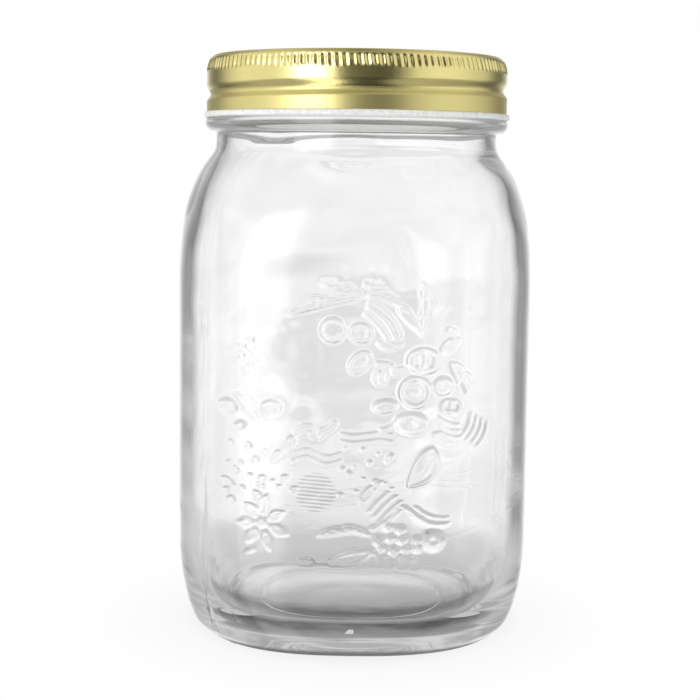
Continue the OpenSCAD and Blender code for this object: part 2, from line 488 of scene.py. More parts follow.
def ring_fruit(x, z, place, width, height):
    """Fruit seen end on: a thick ring round a sunk star."""
    dx, dz = x - place[0], z - place[1]
    reach = np.hypot(2 * dx / width, 2 * dz / height)
    radius = (width + height) / 4
    ring = np.exp(-(((1 - reach) * radius - 1.1) ** 2) / 0.55)
    inner = np.exp(-(((reach * radius - 1.9) / 0.45) ** 2))
    star = np.exp(-((reach * radius / 1.1) ** 2)) * (0.5 + 0.5 * np.cos(5 * np.arctan2(dx, dz)))
    return RELIEF * (0.25 * smooth((1 - reach) * radius / EDGE) + ring + 0.4 * inner + 0.5 * star)


def half_fruit(x, z, place, width, height, angle=0.0):
    """Cut fruit with two sunk seeds."""
    along, across, reach = in_oval(x, z, place, width, height, angle)
    body = raised_oval(reach, width, height)
    for side in (-1, 1):
        seed = np.hypot((along - side * 0.17 * width) / 0.8, across / 1.5)
        lip = np.exp(-((seed - 1.3) ** 2) * 9)
        body = body * (1 - 0.9 * smooth(1.4 - seed)) + 0.35 * RELIEF * lip
    return body


def ribbed(x, z, place, width, height, angle=0.0, step=1.3):
    """Oval crossed by ribs."""
    along, _, reach = in_oval(x, z, place, width, height, angle)
    ribs = 0.5 + 0.5 * np.cos(2 * np.pi * along / step)
    body = raised_oval(reach, width, height)
    return np.maximum(body, LINE * ribs * smooth((1 - reach) * 4))


def pod(x, z, start, end, width, curl):
    """Curved pod with round ends."""
    along, across, length = on_line(x, z, start, end)
    s = np.clip(2 * along / length, -1, 1)
    off = np.hypot(across - curl * (1 - s * s), along - s * length / 2)
    return raised(width / 2 - off, width)


def berry(x, z, place, radius=1.3):
    """Small dome with a dimple."""
    reach = np.hypot(x - place[0], z - place[1]) / radius
    dome = np.sqrt(np.clip(1 - reach**2, 0, None))
    return RELIEF * np.clip(dome - 0.35 * np.exp(-((reach / 0.35) ** 2)), 0, None)


def stem(x, z, start, end, bow, width=0.9):
    """Raised line from start to end that bows sideways."""
    along, across, length = on_line(x, z, start, end)
    s = 2 * along / length
    off = across - bow * (1 - s * s)
    return LINE * np.exp(-((off / (0.5 * width)) ** 2)) * smooth((1 - np.abs(s)) * 4)


def flower(x, z, place, petals, reach, width, turn=0.0):
    """Petals round a button."""
    out = 1.2 * berry(x, z, place, 0.22 * reach)
    for i in range(petals):
        a = math.radians(turn + 360 * i / petals)
        way = [math.cos(a), math.sin(a)]
        size = 1 + 0.12 * math.sin(5 * i + petals)
        near = [p + 0.24 * reach * w for p, w in zip(place, way, strict=True)]
        tip = [p + size * reach * w for p, w in zip(place, way, strict=True)]
        out = np.maximum(out, leaf(x, z, near, tip, width, 0.3 * math.sin(3 * i + 1)))
    return out


def strokes(x, z, start, end, step, count, bow, width=0.8):
    """Side-by-side raised lines, each moved on by step."""
    out = np.zeros_like(x)
    for i in range(count):
        shift = [i * d for d in step]
        a = [p + d for p, d in zip(start, shift, strict=True)]
        b = [p + d for p, d in zip(end, shift, strict=True)]
        out = np.maximum(out, stem(x, z, a, b, bow, width))
    return out


def ribbon(x, z, start, end, waves, swing, width):
    """Flat ribbon with two raised edges that waves between its ends."""
    along, across, length = on_line(x, z, start, end)
    off = across - swing * np.sin(2 * np.pi * waves * along / length)
    edges = np.exp(-(((np.abs(off) - width / 2) / 0.38) ** 2))
    return LINE * edges * smooth((length / 2 - np.abs(along)) / 1.5)


def hatch(x, z, place, width, height, lines):
    """Oval filled with nearly level lines."""
    tilt = -4
    _, across, reach = in_oval(x, z, place, width, height, tilt)
    wave = 0.5 + 0.5 * np.cos(2 * np.pi * across * lines / height)
    return 0.4 * RELIEF * wave**3 * smooth((1 - reach) * 6)


def beads(x, z, start, end, count, radius, bow=0.0):
    """Row of berries."""
    out = np.zeros_like(x)
    for i in range(count):
        t = i / max(1, count - 1)
        spot = [mix(a, b, t) for a, b in zip(start, end, strict=True)]
        spot[1] += bow * (1 - (2 * t - 1) ** 2)
        out = np.maximum(out, berry(x, z, spot, radius * (1 + 0.15 * math.sin(7 * i))))
    return out


def scatter(x, z, place, rows, columns, step, size):
    """Loose ribbed seeds and berries on an irregular grid."""
    out = np.zeros_like(x)
    for j in range(rows):
        for i in range(columns):
            spot = [
                place[0] + step[0] * (i - (columns - 1) / 2) + 1.3 * math.sin(7.1 * i + 3.7 * j),
                place[1] - step[1] * j + 1.2 * math.cos(5.3 * i + 2.9 * j),
            ]
            wide = size * (0.8 + 0.3 * math.sin(9.1 * i + j))
            if (i + j) % 3:
                angle = 90 + 25 * math.sin(i - 2 * j)
                seed = ribbed(x, z, spot, 2.3 * wide, 1.8 * wide, angle, 1.0)
            else:
                seed = berry(x, z, spot, wide)
            out = np.maximum(out, seed)
    return out


def grapes(x, z, place, counts, radius):
    """Loose bunch, one row of berries for each entry in counts."""
    out = np.zeros_like(x)
    for j, count in enumerate(counts):
        for i in range(count):
            shift = 0.55 * j + 0.5 * math.sin(5 * i + j)
            spot = [
                place[0] + 2.5 * radius * (i - (count - 1) / 2) + shift,
                place[1] - 2.0 * radius * j + 0.5 * math.cos(4 * i + 3 * j),
            ]
            out = np.maximum(out, berry(x, z, spot, radius * (1 + 0.1 * math.sin(3 * i + 2 * j))))
    return out


MOTIFS = [
    # sprig over the top
    (leaf, [-9.4, 40.6], [2.8, 37.8], 3.0, -0.3),
    (leaf, [2.0, 40.6], [8.6, 39.2], 2.8, 0.3),
    (leaf, [-18, 32.4], [-7, 36.2], 3.4, 0.9),
    (stem, [-18.5, 31.6], [2, 37], 0.4),
    (stem, [2.2, 37.4], [16, 32.6], 1.0),
    (leaf, [17.2, 40], [16.6, 30.6], 3.4, 2.4),
    (leaf, [11, 34.6], [17.8, 27.2], 3.2, 0.5),
    (stem, [19.4, 32.5], [17.8, 26.6], 0.5),
    (leaf, [24, 28.6], [28.4, 27.2], 2.2),
    # plum, pod and ribbed fruit under it
    (oval, [-5.8, 28.1], 7.4, 7.4, 20, 0.2),
    (stem, [-8.2, 29.6], [-3.6, 30.2], 0.5, 0.8),
    (pod, [4.6, 34.6], [11.4, 27], 3.4, 1.0),
    (pod, [3.0, 32.4], [8.6, 26.4], 1.8, 0.5),
    (ribbed, [1.8, 27.4], 7.4, 6.0, -12, 1.5),
    (leaf, [5.6, 24.9], [13.6, 24.6], 2.6, -0.8),
    (ribbed, [1.6, 19.6], 8.6, 5.8, 42, 1.2),
    (beads, [6.2, 19.2], [10.2, 18.4], 4, 0.85, 0.3),
    (stem, [9.8, 17.8], [15.2, 19], -0.5, 0.8),
    (stem, [9.4, 16.6], [14.6, 17.4], -0.5, 0.8),
    (half_fruit, [7, 15.4], 5.0, 3.4, 5),
    # orchard fruit on the right
    (half_fruit, [18.6, 20], 10.4, 7.8, -4),
    (leaf, [22.8, 22], [28.8, 26], 3.6, 0.4),
    (leaf, [25.4, 19.8], [27.6, 13.2], 3.8, 1.6),
    (leaf, [28, 17.6], [30.2, 10.6], 3.4, 1.2),
    (oval, [23.8, 13.2], 6.2, 5.6, 10),
    (ring_fruit, [16.4, 11.6], 9.8, 9.6),
    (oval, [8.4, 7.8], 7.8, 4.2, 6),
    (oval, [15.4, 3.2], 9.8, 6.6, -4),
    (stem, [6.6, 1.4], [11.2, 3.6], -0.7),
    (half_fruit, [26, 7.6], 7.0, 4.4, -8),
    (strokes, [22.4, 5.2], [29.2, 2.6], [0.2, -1.7], 3, -1.0),
    (strokes, [31.6, 6.4], [28.4, -1.2], [1.5, -0.9], 4, 1.0),
    (leaf, [21, 0.4], [26.4, -2.8], 3.0, 0.4),
    (leaf, [21.6, -3.2], [14.4, -14.4], 7.4, 1.4),
    (pod, [19.8, -4.8], [16.6, -9.4], 1.8, 0.9),
    # pair of fruit, crossed stalks and a small sprig on the left
    (oval, [-34, 6.7], 6.2, 4.4, -8, 0.3),
    (oval, [-22.2, 6.6], 6.6, 5.2, 8, 0.3),
    (leaf, [-32, 10.8], [-24.8, 3.2], 2.6, -0.3),
    (stem, [-29.4, 10.4], [-23, 3.6], 0.3, 0.8),
    (oval, [-30.6, 1.6], 4.2, 2.8, 25, 0.0),
    (flower, [-30.6, 22], 6, 2.6, 1.3),
    (flower, [-28, 17.4], 5, 1.9, 1.0, 30),
    (berry, [-27.6, 25], 1.0),
    # bow and ribbons across the middle
    (pod, [-15, 0.6], [-11.6, 1.6], 2.5, 0.4),
    (pod, [-8.6, 0.6], [-5.2, 2.6], 2.5, -0.4),
    (stem, [-12, 0.4], [-9.8, -1.4], -0.3, 0.8),
    (stem, [-9.8, -1.4], [-7.4, 0.2], -0.3, 0.8),
    (oval, [-16.8, -2.2], 3.0, 4.6, -20, 0.0),
    (ribbon, [-4.4, -0.6], [11.6, -1.2], 1.0, 0.5, 1.9),
    (ribbon, [-17.4, -5.6], [-2, -6.8], 1.5, -0.7, 2.0),
    # loose seeds each side of the hatched oval
    (scatter, [-25, -4.4], 4, 5, [4.0, 3.7], 1.15),
    (scatter, [3.6, -4.8], 4, 4, [3.8, 3.6], 0.95),
    (hatch, [-10, HATCH_Z - PANEL_Z], 11.4, 11.5, 11),
    # leaves and blossom at the lower left
    (flower, [-24.4, -24.6], 7, 7.6, 3.2, 80),
    (berry, [-33, -19], 1.3),
    (leaf, [-36, -13], [-31.6, -15], 2.2),
    (leaf, [-26.6, -15.6], [-24.6, -20.4], 2.2, 0.4),
    (leaf, [-29.6, -33.6], [-25.4, -31.6], 1.8),
    (leaf, [-17.6, -35.6], [-11.6, -38.4], 2.4, 0.3),
    (leaf, [-14.4, -34.6], [-8.6, -36.2], 2.0, 0.3),
    # leaves between the oval and the grapes
    (leaf, [1.8, -19.4], [8.4, -12.2], 3.0, 0.5),
    (strokes, [4.0, -21.8], [11, -14.6], [1.3, -1.5], 4, 0.4, 0.75),
    (stem, [4.2, -26.2], [12.4, -19], -1.1),
    (stem, [12.4, -19], [20.4, -24], 0.2),
    (leaf, [-9.6, -27.8], [1.6, -26.4], 2.4, 0.7),
    (leaf, [-3.2, -25.2], [5.6, -27.8], 2.0, 0.4),
    (leaf, [-6.4, -34.8], [6, -31.2], 4.6, -1.0),
    (leaf, [6.2, -31.6], [2.4, -39.2], 4.4, 0.5),
    (leaf, [6.8, -31.4], [8, -37], 2.0, -0.4),
    # stalk, grapes and a round blossom at the lower right
    (stem, [15, -20.6], [26.8, -24.2], -1.8, 1.1),
    (stem, [16.4, -19], [26.8, -22.6], -1.5, 0.7),
    (grapes, [11.6, -25.6], [2, 4, 4, 3, 3, 1], 1.45),
    (oval, [21.8, -29], 6.6, 6.4, 0, 0.5),
]


def garland(x, z):
    """Height of the whole decoration at x and z on the front of the jar."""
    z = z - PANEL_Z
    motifs = [motif(x, z, *shape) for motif, *shape in MOTIFS]
    shallowest = 0.62  # share of the height that is left at the lower left
    upper_right = smooth((x + 8 + 0.5 * np.maximum(z + 8, 0)) / 14)
    above_heel = smooth((z + 37) / 8)
    return mix(shallowest, 1.0, upper_right) * above_heel * np.maximum.reduce(motifs)


# ---- glass jar -------------------------------------------


def shoulder_half(z, low, high):
    """Half width at height z, low on the body and high at the neck."""
    u = np.clip((NECK_Z - z) / SHOULDER_H, 0, 1)
    return high + (low - high) * (1 - (1 - u) ** SHOULDER_POWER)


def section_power(z):
    """Exponent of the section: 2 is round, more is squarer."""
    upper = mix(2.0, SQUARENESS, smooth((NECK_Z - z) / (SHOULDER_H * 0.75)))
    lower = mix(FOOT_SQUARENESS, SQUARENESS, smooth(z / 6))
    return np.where(z > SHOULDER_Z, upper, lower)


def body_points(angle, half, z):
    """Points of the rounded-square section, and the section's outward direction there."""
    power = section_power(z)
    c, s = np.cos(angle), np.sin(angle)
    r = half / (np.abs(c) ** power + np.abs(s) ** power) ** (1 / power)
    x, y = r * c, r * s
    nx = np.sign(x) * np.abs(x / half) ** (power - 1)
    ny = np.sign(y) * np.abs(y / half) ** (power - 1)
    size = np.maximum(np.hypot(nx, ny), 1e-9)
    return x, y, nx / size, ny / size


def ripple(angle, z, amount, seed):
    """Slow unevenness of moulded glass, as a sum of long waves."""
    out = np.zeros_like(z * angle)
    for i in range(1, 7):
        round_waves = i + seed % 3
        up = 0.012 * ((i * 5 + seed) % 7)
        out = out + np.sin(round_waves * angle + up * z * 2 * np.pi + 1.7 * i + seed) / i
    return amount * out * 0.5


def thread_turns(angle):
    """Degrees along a thread from its front crossing, on each turn that it may be on."""
    return [degrees_from(angle, FRONT) + turn for turn in (-360, 0, 360)]


def thread_height(angle, z):
    """Height of the glass thread over the finish wall, angle in radians from +X."""
    crest, flank = 0.2, 1.1
    out = np.zeros_like(z * angle)
    for k in thread_turns(angle):
        off = np.abs(z - (GROOVE_Z + 2) - PITCH * k / 360)
        rise = smooth((THREAD_SPAN - np.abs(k)) / FADE)
        out = np.maximum(out, rise * (1 - smooth((off - crest) / flank)))
    return (THREAD_R - FINISH_R) * out


def seam_height(angle, z):
    """The mould's parting line, on two opposite corners. It stands out more low down."""
    height = 0.03 + 0.2 * smooth((56 - z) / 16)
    half_width = 0.5
    out = np.zeros_like(z * angle)
    for corner in SEAMS:
        out = out + height * np.exp(-((degrees_from(angle, corner) / half_width) ** 2))
    return out


def outer_outline():
    """[half width, height] from the centre of the underside up to the middle of the lip."""
    neck_slope, neck_bend = 0.685, 0.9
    bead_round, bead_drop, lip_round = 0.8, 2.4, 1.2
    spread = np.union1d(np.linspace(0.02, 1, 16), BASE_SEAM + 0.01 * np.arange(-4, 5))
    under = []
    for t in spread:
        seam = BASE_SEAM_DEPTH * math.exp(-(((t - BASE_SEAM) / BASE_SEAM_W) ** 2))
        under.append([t * (FOOT_R - FOOT_BAND), PUSH_UP * (1 - t * t) ** 2 - seam])
    heel = arc(FOOT_R, HEEL_H, BODY_R - FOOT_R, HEEL_H, -88, 0, 26)
    fine_rows = np.arange(HATCH_Z - 6, HATCH_Z + 6, RELIEF_STEP / 2)
    side = np.union1d(np.arange(HEEL_H, SHOULDER_Z + 16, RELIEF_STEP), fine_rows)[1:]
    shoulder = np.linspace(side[-1], NECK_Z + 1.5, 34)[1:]
    body = []
    for z in [*side, *shoulder]:
        rise = float(shoulder_half(np.float64(z), BODY_R, NECK_R)) - NECK_R
        if z > NECK_Z:
            rise = (NECK_Z - z) * neck_slope
        body.append([NECK_R + (rise + math.hypot(rise, neck_bend)) / 2, z])
    finish = (
        arc(NECK_R + 0.8, BEAD_Z - 0.8, 0.8, 0.8, 180, 90, 5)
        + arc(BEAD_R - bead_drop, BEAD_Z + bead_drop, bead_drop, bead_drop, -90, 0, 12)
        + arc(BEAD_R - bead_round, BEAD_Z + BEAD_H - bead_round, bead_round, bead_round, 0, 90, 8)
        + arc(FINISH_R + 0.6, BEAD_Z + BEAD_H + 0.6, 0.6, 0.6, -90, -180, 4)
        + arc(FINISH_R - lip_round, LIP_Z - lip_round, lip_round, lip_round, 0, 90, 7)
    )
    return under + [[FOOT_R - 1.2, 0]] + heel + body + spaced(finish, 0.45)


def inner_outline():
    """[half width, height] from the lip down to the centre of the floor."""
    neck_slope, neck_bend = 0.66, 1.2
    low = BODY_R - WALL
    floor_r = FOOT_R - 7
    lip = arc(MOUTH_R + 0.6, LIP_Z - 0.6, 0.6, 0.6, 90, 180, 6)
    bore = [[MOUTH_R, z] for z in np.linspace(LIP_Z - 3, NECK_Z + 2, 8)]
    shoulder = []
    for z in np.linspace(NECK_Z + 1, SHOULDER_Z, 36):
        rise = float(shoulder_half(np.float64(z + 1.5), low, MOUTH_R)) - MOUTH_R
        if z > NECK_Z - 1.5:
            rise = (NECK_Z - 1.5 - z) * neck_slope
        shoulder.append([MOUTH_R + (rise + math.hypot(rise, neck_bend)) / 2, z])
    side = [[low, z] for z in np.linspace(SHOULDER_Z, HEEL_H + 2, 44)][1:]
    bowl = []
    for turn in np.radians(np.linspace(3, 89.4, 44)):
        r = low * math.cos(turn) ** 0.25
        z = HEEL_H + 2 - (HEEL_H + 2 - BASE_T) * math.sin(turn)
        t = min(1, r / floor_r)
        bowl.append([r, z + PUSH_UP * (1 - t * t) ** 2])
    last = bowl[-1][0]
    floor = [
        [last * t, BASE_T + PUSH_UP * (1 - (last * t / floor_r) ** 2) ** 2]
        for t in np.linspace(1, 0.03, 12)
    ][1:]
    return lip + bore + shoulder + side + bowl + floor


def column_angles(front, elsewhere):
    """Angles of a ring's points, with the given steps over the decoration and elsewhere."""
    decorated, seam, seam_step, last_gap = 46, 1.8, 0.45, 0.2
    angles, a = [], -180.0
    while a < 180 - last_gap:
        angles.append(a)
        near_seam = min(abs(a - corner) for corner in SEAMS) < seam
        a += seam_step if near_seam else front if abs(a - FRONT) < decorated else elsewhere
    return np.radians(angles)


def zipped(first, a, second, b):
    """Faces between two rings, given each ring's first index and its points' angles."""
    n, m = len(a), len(b)
    if n == m:
        return ring_faces(first, second, n)
    ends_a, ends_b = np.append(a[1:], a[0] + 2 * np.pi), np.append(b[1:], b[0] + 2 * np.pi)
    faces, i, j = [], 0, 0
    while i < n or j < m:
        if j == m or (i < n and ends_a[i] <= ends_b[j]):
            faces.append((first + i, first + (i + 1) % n, second + j % m))
            i += 1
        else:
            faces.append((first + i % n, second + (j + 1) % m, second + j))
            j += 1
    return faces


def neck_sag(angle):
    """How far the inside of the neck sags, unevenly round the jar."""
    front = degrees_from(angle, FRONT)
    waves = 0.7 * np.sin(2 * angle + 0.6) + 0.45 * np.sin(5 * angle) + 0.3 * np.sin(9 * angle + 2)
    return waves - 0.9 * np.exp(-((front / 9) ** 2))


def lumps(x, z):
    """Soft swellings of the inner skin behind the decoration."""
    out = np.zeros_like(x * z)
    for i in range(26):
        across = 22 * math.sin(2.4 * i + 0.5)
        up = PANEL_Z + 6 + 27 * math.sin(1.7 * i * i + 0.9)
        wide, high = 3.2 + 1.6 * math.sin(5 * i), 3.0 + 1.4 * math.cos(3 * i)
        size = 0.3 * (1 if i % 3 else -1)
        out = out + size * np.exp(-(((x - across) / wide) ** 2) - ((z - up) / high) ** 2)
    return out


def outer_skin(angle, half, z):
    """Points of the outer skin, which carries the relief, the parting line and the thread."""
    seam_start = 10
    x, y, nx, ny = body_points(angle, half, z)
    z = z + 0 * angle
    decorated = (z > HEEL_H * 0.6) & (z < NECK_Z) & (y < 0)
    push = np.where(decorated, garland(x, z), 0)
    push = push + np.where((half > seam_start) & (z < NECK_Z), seam_height(angle, z), 0)
    push = push + np.where(z < NECK_Z - 2, ripple(angle, z, 0.05, 1), 0) * smooth(z / HEEL_H)
    wall = (z > BEAD_Z + BEAD_H + 0.5) & (z < LIP_Z - 1.2)
    push = push + np.where(wall, thread_height(angle, z), 0)
    return np.stack([x + nx * push, y + ny * push, z], -1)


def inner_skin(angle, half, z):
    """Points of the inner skin, which is lumpy behind the relief and sags at the neck."""
    x, y, nx, ny = body_points(angle, half, z)
    z = z + 0 * angle
    fade = smooth((NECK_Z - z) / 8)
    push = ripple(angle, z, 0.17, 4) * fade * smooth(half / 20)
    swollen = np.where(y < 0, lumps(x, z), 0.8 * lumps(4 - x, z + 3)) * smooth((z - HEEL_H) / 9)
    push = push + np.where(z > HEEL_H, swollen, 0) * fade
    sag = neck_sag(angle) * np.exp(-(((z - NECK_Z) / 5) ** 2))
    return np.stack([x + nx * push, y + ny * push, z + sag], -1)


def build_jar():
    """One closed skin, outside and in, of rings that differ in how many points they have."""
    fine, coarse = column_angles(0.52, 1.8), column_angles(2.0, 2.0)
    rings = []
    for half, z in outer_outline():
        decorated = RELIEF_ZONE[0] < z < RELIEF_ZONE[1]
        rings.append((outer_skin, fine if decorated else coarse, half, z))
    rings += [(inner_skin, coarse, half, z) for half, z in inner_outline()]
    points, faces, starts = [], [], []
    for skin, angles, half, z in rings:
        starts.append(len(points))
        points += skin(angles, np.float64(half), np.float64(z)).tolist()
    for i in range(len(rings) - 1):
        faces += zipped(starts[i], rings[i][1], starts[i + 1], rings[i + 1][1])
    n = len(coarse)
    under, floor = len(points), len(points) + 1
    points += [[0, 0, PUSH_UP], [0, 0, BASE_T + PUSH_UP]]
    faces += [(under, (i + 1) % n, i) for i in range(n)]
    faces += [(floor, starts[-1] + i, starts[-1] + (i + 1) % n) for i in range(n)]
    piece = mesh_object("jar_glass", points, faces, [GLASS])
    place_in_frame(piece, "glass_jar", "jar")


# ---- screw band ------------------------------------------


def rolled_groove(angle, z):
    """Depth of the band's rolled thread, as 0 to 1."""
    out = np.zeros_like(z * angle)
    for k in thread_turns(angle):
        off = z - GROOVE_Z - PITCH * k / 360
        reach = np.where(off > 0, GROOVE_UP, GROOVE_DOWN)
        part = np.where(np.abs(off) < reach, np.cos(0.5 * np.pi * off / reach) ** 2, 0)
        out = np.maximum(out, part * smooth((GROOVE_SPAN - np.abs(k)) / FADE))
    return out


def build_band():
    """Rolled band: flange, knurled shoulder, threaded skirt and a curled foot."""
    bend, bevel_in, bevel_power = 0.8, 1.02, 1.6
    flange_z = BAND_TOP - SHEET
    half = CURL_W / 2
    centre = BAND_R - SHEET + half
    skin_top = BAND_TOP - BEVEL_H
    skin_foot = BAND_FOOT + CURL_H - 0.1
    zone = np.linspace(skin_top, skin_foot, 44)[1:]
    outside = (
        [[OPENING_R, flange_z + 0.1], [OPENING_R + 0.1, BAND_TOP]]
        + [[r, BAND_TOP] for r in np.linspace(OPENING_R + 0.6, BEVEL_R - bend - 0.6, 6)]
        + arc(BEVEL_R - bend, BAND_TOP - bend, bend, bend, 90, 25, 8)
        + [
            [BAND_R - bevel_in * (1 - t) ** bevel_power, mix(BAND_TOP - 0.62, skin_top, t)]
            for t in np.linspace(0.06, 1, 20)
        ]
        + [[BAND_R, z] for z in zone]
    )
    curl = arc(centre, BAND_FOOT + CURL_H - half, half, half, 150, 0, 8) + arc(
        centre, BAND_FOOT + half, half, half, 0, -180, 12
    )
    inside = (
        [[BAND_R - SHEET, z] for z in np.linspace(BAND_FOOT + 1.0, skin_top, 40)]
        + [
            [
                BAND_R - SHEET - bevel_in * (1 - t) ** bevel_power,
                mix(flange_z - 0.5, skin_top - 0.1, t),
            ]
            for t in np.linspace(1, 0.06, 8)
        ]
        + [[r, flange_z] for r in np.linspace(BEVEL_R - bend - 0.3, OPENING_R + 0.1, 6)]
    )
    outline = outside + curl + inside
    slots = [0] * (len(outside) - 1) + [1] * (len(outline) - len(outside) + 1)
    steps = KNURLS * 6

    def shaped(angle, r, z):
        """Presses in the rolled thread, and the knurls round the top."""
        belt = (r > BAND_R - SHEET - 0.01) & (r < BAND_R + 0.01) & (z > skin_foot - 0.2)
        r = r - np.where(belt, GROOVE_DEPTH * rolled_groove(angle, z), 0)
        low, high = BAND_TOP - 5.1, BAND_TOP - 1.1
        reach = smooth((z - low) / 1.4) * smooth((high - z) / 1.0)
        teeth = 0.5 + 0.5 * np.cos(KNURLS * (angle + KNURL_SLANT * (z - low)))
        wear_and_edge_shade = 0.85 + 0.3 * np.sin(11 * angle) * np.sin(37 * angle + 1)
        knurled = (r > mix(BEVEL_R, BAND_R, 0.2) - 0.7) & (z > low)
        depth = np.where(knurled, KNURL_DEPTH * wear_and_edge_shade * reach * (1 - teeth**1.5), 0)
        return r - depth, z

    piece = revolved("band_skin", outline, steps, [GOLD, HEM_ENAMEL], slots, shaped)
    place_in_frame(piece, "screw_band", "band")


# ---- flat disc and its sealing ring ----------------------


def build_disc():
    """Pressed disc: gold above, white enamel below."""
    thick = 0.28
    top = disc_high[2]
    edge = disc_high[0]
    panel_r, step_r, bead_r, button_r = MOUTH_R - 1.2, 0.8 * edge, 0.62 * edge, 12.5
    panel_drop, step_rise, bead_rise, button_rise = 1.1, 0.25, 0.5, 0.6

    def height(r):
        """Top of the disc at radius r, from its rim."""
        panel = -panel_drop * smooth((panel_r - r) / 1.6)
        bead = bead_rise * np.exp(-(((r - bead_r) / 0.8) ** 2))
        step = step_rise * np.exp(-(((r - step_r) / 0.6) ** 2))
        button = button_rise * smooth((button_r - r) / 2.5)
        return panel + bead + step + button

    radii = np.linspace(0.01, edge - 0.5, 110)
    upper = [[r, top + float(height(r))] for r in radii] + arc(
        edge - 0.5, top - 0.5, 0.5, 0.5, 90, 0, 6
    )
    rim = [[edge, top - 0.9], [edge - thick, top - 0.9], [edge - thick, top - thick - 0.1]]
    lower = [[r, top - thick + float(height(r))] for r in radii[::-1]]
    outline = upper + rim + lower
    slots = [0] * len(upper) + [1] * (len(outline) - len(upper))
    piece = revolved("disc_plate", outline, 180, [GOLD, DISC_ENAMEL], slots)
    place_in_frame(piece, "lid_disc", "lid")


def build_seal():
    """Ring of compound, with the shallow groove that the jar's lip has pressed in it."""
    inner, outer = MOUTH_R - 1, seal_high[0]
    low, high = seal_low[2], seal_high[2]
    corner, groove_w, groove_depth = 0.4, 0.9, 0.12
    outline = spaced(
        [[inner, high], [outer, high]]
        + arc(outer - corner, low + corner, corner, corner, 0, -90, 6)
        + arc(mix(inner, outer, 0.5), low, groove_w, groove_depth, 0, 180, 8)
        + arc(inner + corner, low + corner, corner, corner, -90, -180, 6),
        0.5,
    )
    piece = revolved("seal_compound", outline, 180, [COMPOUND])
    place_in_frame(piece, "seal_ring", "lid")


# ---- studio ----------------------------------------------


# Light level by degrees round from behind the camera, left being negative.
LAMPS = [
    (-180, 1.04),
    (-164, 1.04),
    (-152, 0.5),
    (-140, 0.2),
    (-128, 0.25),
    (-113, 0.72),
    (-95, 1.05),
    (-70, 0.95),
    (-52, 1.1),
    (-47, 3.6),
    (-24, 3.6),
    (-18, 1.0),
    (-12, 0.16),
    (24, 0.08),
    (30, 0.2),
    (46, 0.95),
    (64, 1.08),
    (84, 0.98),
    (110, 0.74),
    (128, 0.22),
    (140, 0.17),
    (152, 0.5),
    (164, 1.04),
    (180, 1.04),
]
RAMP_TOP = 4.0  # light level that a ramp's 1 stands for


def studio_direction(s):
    """Where a ray is heading: degrees round from behind the camera, and degrees above level."""
    place = s.add("ShaderNodeTexCoord")
    seen, level = s.parts(place.outputs["Camera"]), s.parts(place.outputs["Generated"])
    back = s.times(seen.outputs["Z"], -1.0)
    azimuth = s.math("DEGREES", s.math("ARCTAN2", seen.outputs["X"], back))
    rise = s.math("DEGREES", s.math("ARCSINE", level.outputs["Z"]))
    return azimuth, rise


